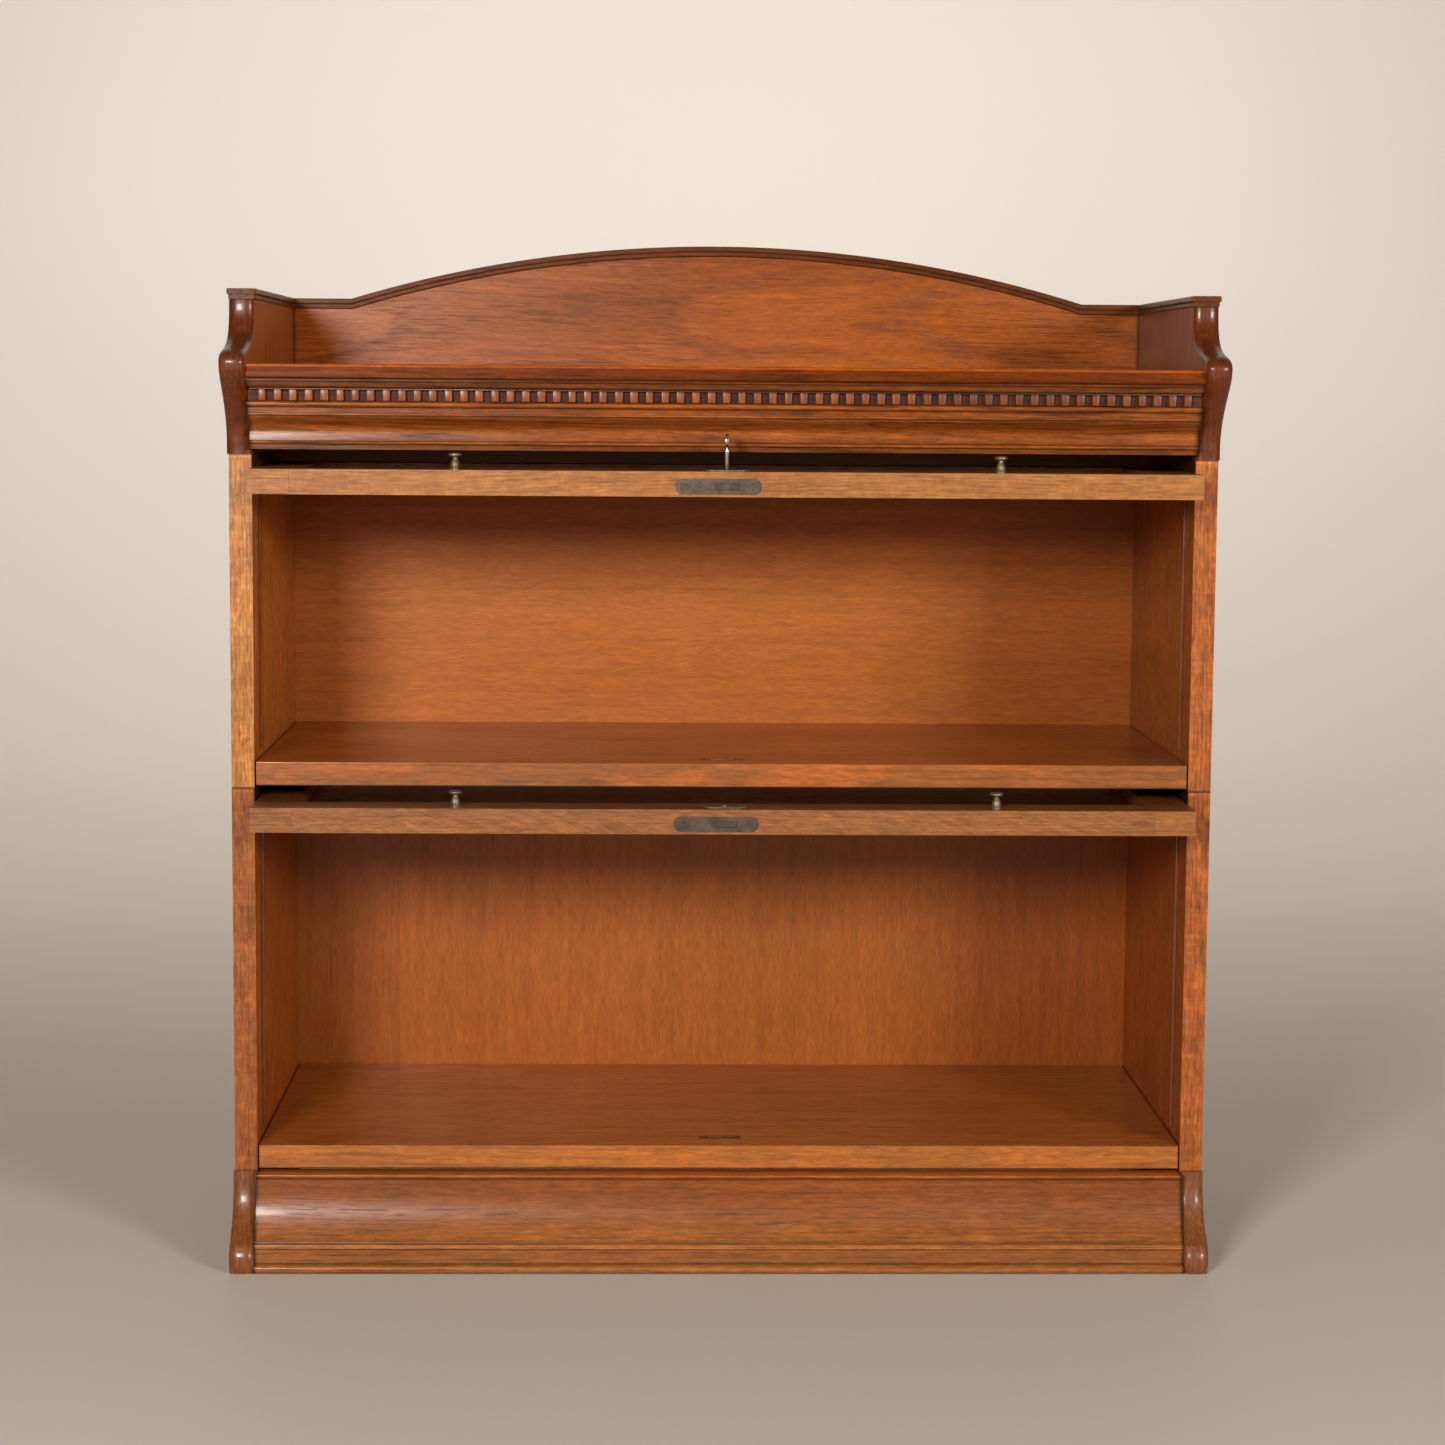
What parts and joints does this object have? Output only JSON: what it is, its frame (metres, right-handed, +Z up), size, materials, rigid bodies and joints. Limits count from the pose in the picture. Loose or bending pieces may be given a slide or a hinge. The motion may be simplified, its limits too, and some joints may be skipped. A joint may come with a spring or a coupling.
{
  "type": "barrister bookcase",
  "caption": "Stacking oak bookcase with glazed doors that lift and slide back over each shelf, a moulded plinth and a galleried cornice top.",
  "frame": {"origin": "on the floor, centred in width and in the overall depth of the open rest pose", "axes": "+Z up, front of the case faces -Y, +X to the viewer's right when facing the front"},
  "size_m": [0.87, 0.411, 0.9175],
  "materials": {
    "oak_side": "satin varnish, mid brown quarter-sawn oak",
    "oak_dark": "gloss varnish, dark reddish brown oak",
    "oak_moulding": "gloss varnish, streaky brown oak",
    "oak_shelf": "satin varnish, dark brown oak",
    "oak_back": "satin varnish, orange brown oak",
    "oak_door": "satin varnish, light brown oak",
    "oak_plain": "bare oak",
    "glass": "clear",
    "brass": "aged",
    "lock_steel": "patinated",
    "key_steel": "worn",
    "iron": "dull"
  },
  "bodies": {
    "root": {"base_foot_left": "oak_dark", "base_foot_right": "oak_dark", "base_plinth": "oak_moulding", "base_back_rail": "oak_plain", "base_glue_blocks": "oak_plain", "s1_side_left": "oak_side", "s1_side_right": "oak_side", "s1_shelf": "oak_shelf", "s1_back": "oak_back", "s1_stop_beads": "oak_dark", "s1_strike": "lock_steel", "s2_side_left": "oak_side", "s2_side_right": "oak_side", "s2_shelf": "oak_shelf", "s2_back": "oak_back", "s2_stop_beads": "oak_dark", "s2_strike": "lock_steel", "top_bracket_left": "oak_dark", "top_bracket_right": "oak_dark", "top_board": "oak_moulding", "top_cornice": "oak_moulding", "top_dentils": "oak_moulding", "gallery_back": "oak_moulding", "gallery_cap_back": "oak_dark", "gallery_cap_left": "oak_dark", "gallery_cap_right": "oak_dark", "locating_dowels": "oak_plain"},
    "lower_carriage": {"d1_runners": "iron", "d1_equaliser": "iron"},
    "lower_door": {"d1_stile_left": "oak_door", "d1_stile_right": "oak_door", "d1_rail_top": "oak_door", "d1_rail_bottom": "oak_door", "d1_glass": "glass", "d1_glazing_beads": "oak_door", "d1_pivot_pins": "key_steel", "d1_knobs": "brass", "d1_escutcheon": "brass", "d1_lock": "lock_steel", "d1_lock_screws": "iron"},
    "lower_bolt": {"d1_bolt": "lock_steel"},
    "upper_carriage": {"d2_runners": "iron", "d2_equaliser": "iron"},
    "upper_door": {"d2_stile_left": "oak_door", "d2_stile_right": "oak_door", "d2_rail_top": "oak_door", "d2_rail_bottom": "oak_door", "d2_glass": "glass", "d2_glazing_beads": "oak_door", "d2_pivot_pins": "key_steel", "d2_knobs": "brass", "d2_escutcheon": "brass", "d2_lock": "lock_steel", "d2_lock_screws": "iron"},
    "upper_bolt": {"d2_bolt": "lock_steel"},
    "key": {"key": "key_steel"}
  },
  "joints": [
    {"name": "lower_slide", "type": "slide", "parent": "root", "child": "lower_carriage", "axis": [0, -1, 0], "range_m": [0, 0.2074]},
    {"name": "lower_hinge", "type": "hinge", "parent": "lower_carriage", "child": "lower_door", "pos_m": [0, 0.0929, 0.4083], "axis": [1, 0, 0], "range_deg": [0, 90]},
    {"name": "lower_bolt_slide", "type": "slide", "parent": "lower_door", "child": "lower_bolt", "axis": [0, -1, 0], "range_m": [0, 0.006]},
    {"name": "upper_slide", "type": "slide", "parent": "root", "child": "upper_carriage", "axis": [0, -1, 0], "range_m": [0, 0.1549]},
    {"name": "upper_hinge", "type": "hinge", "parent": "upper_carriage", "child": "upper_door", "pos_m": [0, 0.0404, 0.6993], "axis": [1, 0, 0], "range_deg": [0, 90]},
    {"name": "upper_bolt_slide", "type": "slide", "parent": "upper_door", "child": "upper_bolt", "axis": [0, -1, 0], "range_m": [0, 0.006]},
    {"name": "key_turn", "type": "hinge", "parent": "upper_door", "child": "key", "pos_m": [0, -0.1895, 0.7193], "axis": [0, 0, 1], "range_deg": [0, 90]}
  ],
  "couplings": [
    {"joint": "key_turn", "follows": "upper_bolt_slide", "rad_per_m": 261.7}
  ]
}
